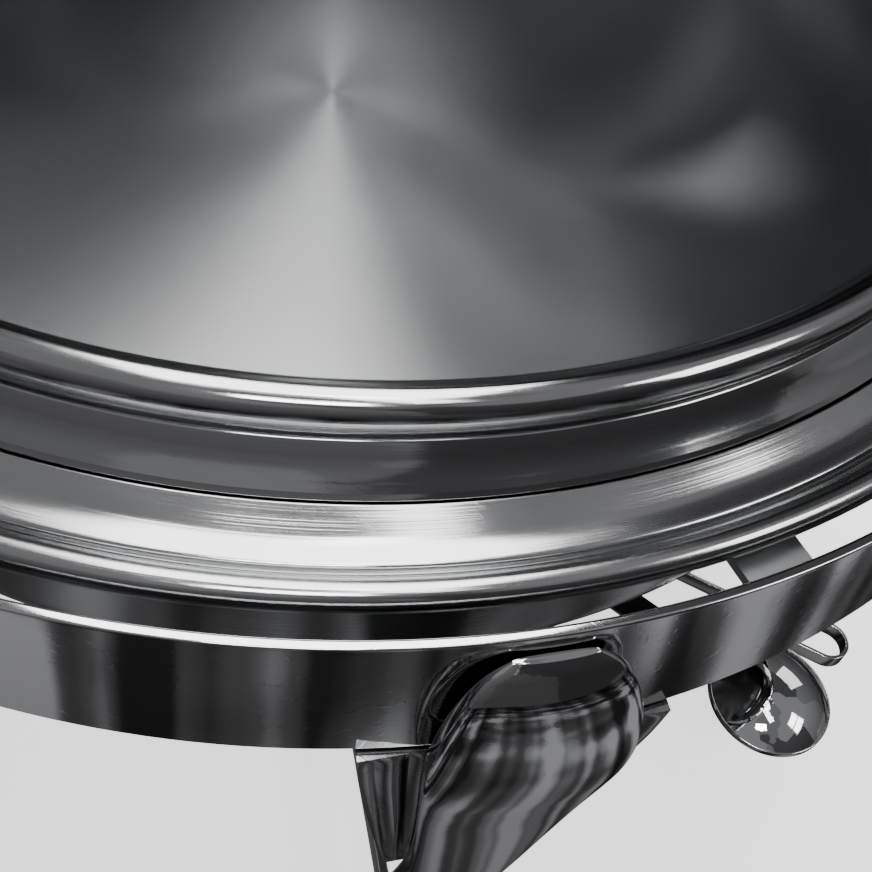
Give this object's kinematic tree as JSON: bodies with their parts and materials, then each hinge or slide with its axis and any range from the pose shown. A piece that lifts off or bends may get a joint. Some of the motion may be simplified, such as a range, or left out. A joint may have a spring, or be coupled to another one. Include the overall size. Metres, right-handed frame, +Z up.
{
  "type": "roll top chafer",
  "caption": "Round roll top chafer on four legs, lid rolled back, with nested food and water pans over a fuel burner cup with a swivelling damper.",
  "frame": {"origin": "on the table, on the upright axis of the round frame band, centre of the object's footprint", "axes": "+Z up; the front, where the lid opens for serving, faces -Y; the lid's pivot axis runs along X and the burner's lever points to +X"},
  "size_m": [0.4512, 0.42, 0.4736],
  "materials": {
    "polished_band": "mirror polished stainless flat bar",
    "polished_cast_leg": "mirror polished, hollow formed leg",
    "polished_plate": "bright ribbed plate",
    "rubber": "matt black moulded rubber",
    "nylon": "natural nylon washer",
    "chromed_knob": "bright chrome plate",
    "polished_lid": "mirror polished spun dome",
    "chromed_handle": "bright chrome plate",
    "spun_pan": "spun satin with circular turning marks, polished rolled edge",
    "water_pan_steel": "polished pressed sheet",
    "burner_bright": "bright pressed strip",
    "burner_satin": "satin pressed cup",
    "satin_steel": "satin stainless"
  },
  "bodies": {
    "stand": {"burner_seat": "satin_steel", "foot_pad_front_left": "rubber", "foot_pad_front_right": "rubber", "foot_pad_rear_left": "rubber", "foot_pad_rear_right": "rubber", "frame_ring": "polished_band", "hoop_bracket_1": "satin_steel", "hoop_bracket_2": "satin_steel", "hoop_bracket_3": "satin_steel", "hoop_bracket_4": "satin_steel", "hoop_bracket_5": "satin_steel", "leg_front_left": "polished_cast_leg", "leg_front_right": "polished_cast_leg", "leg_plate_front_left": "polished_plate", "leg_plate_front_right": "polished_plate", "leg_plate_rear_left": "polished_plate", "leg_plate_rear_right": "polished_plate", "leg_rear_left": "polished_cast_leg", "leg_rear_right": "polished_cast_leg", "leg_screw_front_left": "satin_steel", "leg_screw_front_right": "satin_steel", "leg_screw_rear_left": "satin_steel", "leg_screw_rear_right": "satin_steel", "lid_stop_open_left": "rubber", "lid_stop_open_right": "rubber", "lid_stop_shut_left": "rubber", "lid_stop_shut_right": "rubber", "lower_arm_front_left": "satin_steel", "lower_arm_front_right": "satin_steel", "lower_arm_rear_left": "satin_steel", "lower_arm_rear_right": "satin_steel", "pivot_collar_left": "satin_steel", "pivot_collar_right": "satin_steel", "pivot_knob_left": "chromed_knob", "pivot_knob_right": "chromed_knob", "pivot_pin_left": "satin_steel", "pivot_pin_right": "satin_steel", "pivot_washer_left": "nylon", "pivot_washer_right": "nylon", "support_hoop": "satin_steel"},
    "lid": {"lid_dome": "polished_lid", "lid_handle_grip": "chromed_handle", "lid_handle_nut_left": "satin_steel", "lid_handle_nut_right": "satin_steel", "lid_handle_post_left": "chromed_handle", "lid_handle_post_right": "chromed_handle", "lid_rosette_left": "chromed_handle", "lid_rosette_right": "chromed_handle"},
    "water_pan": {"water_pan": "water_pan_steel"},
    "food_pan": {"food_pan": "spun_pan"},
    "burner": {"burner_cup": "burner_satin", "burner_loop_handle": "burner_bright", "damper_pin": "satin_steel"},
    "damper": {"damper_plate": "burner_bright", "damper_thumb_rest": "burner_bright"}
  },
  "joints": [
    {"name": "lid_hinge", "type": "hinge", "parent": "stand", "child": "lid", "pos_m": [0, 0, 0.235], "axis": [1, 0, 0], "range_deg": [0, 80]},
    {"name": "water_pan_lift", "type": "slide", "parent": "stand", "child": "water_pan", "axis": [0, 0, 1], "range_m": [0, 0.015]},
    {"name": "food_pan_lift", "type": "slide", "parent": "water_pan", "child": "food_pan", "axis": [0, 0, 1], "range_m": [0, 0.035]},
    {"name": "burner_lift", "type": "slide", "parent": "stand", "child": "burner", "axis": [0, 0, 1], "range_m": [0, 0.03]},
    {"name": "damper_swivel", "type": "hinge", "parent": "burner", "child": "damper", "pos_m": [0.0518, -0.00453, 0.066], "axis": [0, 0, -1], "range_deg": [0, 35]}
  ]
}
